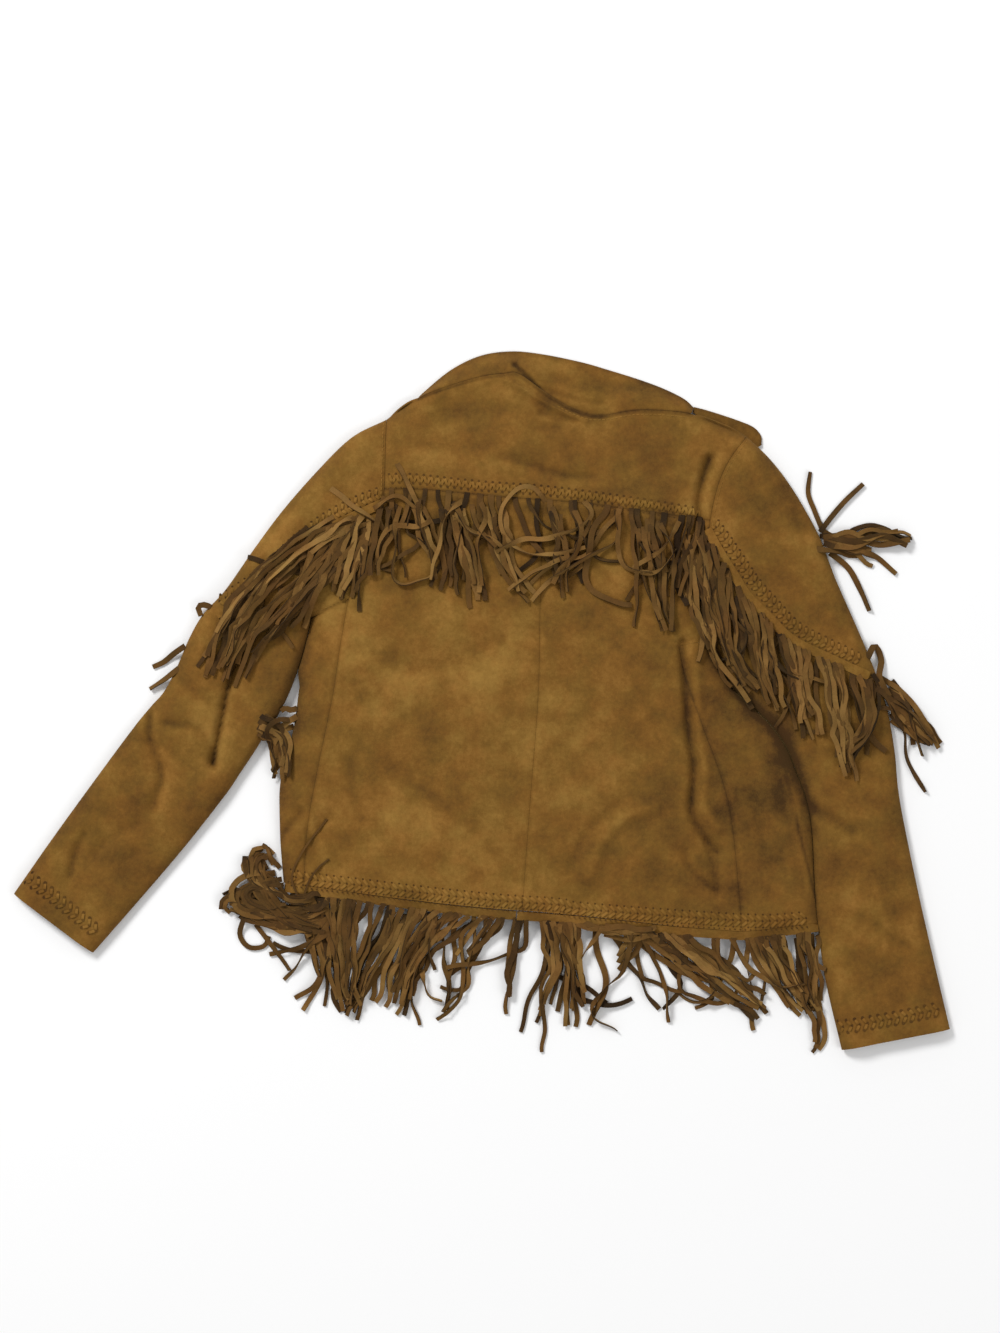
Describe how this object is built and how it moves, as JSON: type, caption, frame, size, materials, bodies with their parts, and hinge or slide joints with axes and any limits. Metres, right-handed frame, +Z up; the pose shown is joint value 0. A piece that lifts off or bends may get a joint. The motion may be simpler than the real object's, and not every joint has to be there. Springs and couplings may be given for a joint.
{
  "type": "fringed suede jacket",
  "caption": "Cropped western suede jacket with a yoke, laced seams and long cut fringe, lying flat on its fronts with the back up and both sleeves spread.",
  "frame": {"origin": "middle of the jacket's outline at the surface that it lies on", "axes": "+Y from hem to collar, +X towards the wearer's right sleeve (the back is up, so it is on the right seen from above), +Z up out of the surface"},
  "size_m": [0.934, 0.7125, 0.028],
  "materials": {
    "body_suede": "matt napped golden-brown suede with lighter and darker patches",
    "collar_suede": "matt napped suede, a little darker than the body",
    "fringe_suede": "matt cut suede strands, greyer than the body"
  },
  "bodies": {
    "root": {"yoke_back": "body_suede", "back_left": "body_suede", "back_right": "body_suede", "side_left": "body_suede", "side_right": "body_suede", "front_left": "body_suede", "front_right": "body_suede", "sleeve_left": "body_suede", "sleeve_right": "body_suede", "collar": "collar_suede", "lapel_right": "collar_suede", "fringe_yoke": "fringe_suede", "fringe_sleeve_left": "fringe_suede", "fringe_sleeve_right": "fringe_suede", "fringe_hem_left": "fringe_suede", "fringe_hem_right": "fringe_suede", "fringe_front_right_top": "fringe_suede", "fringe_front_right_low": "fringe_suede", "fringe_front_left": "fringe_suede", "fringe_side_left": "fringe_suede", "fringe_hem_corner": "fringe_suede"}
  },
  "joints": []
}
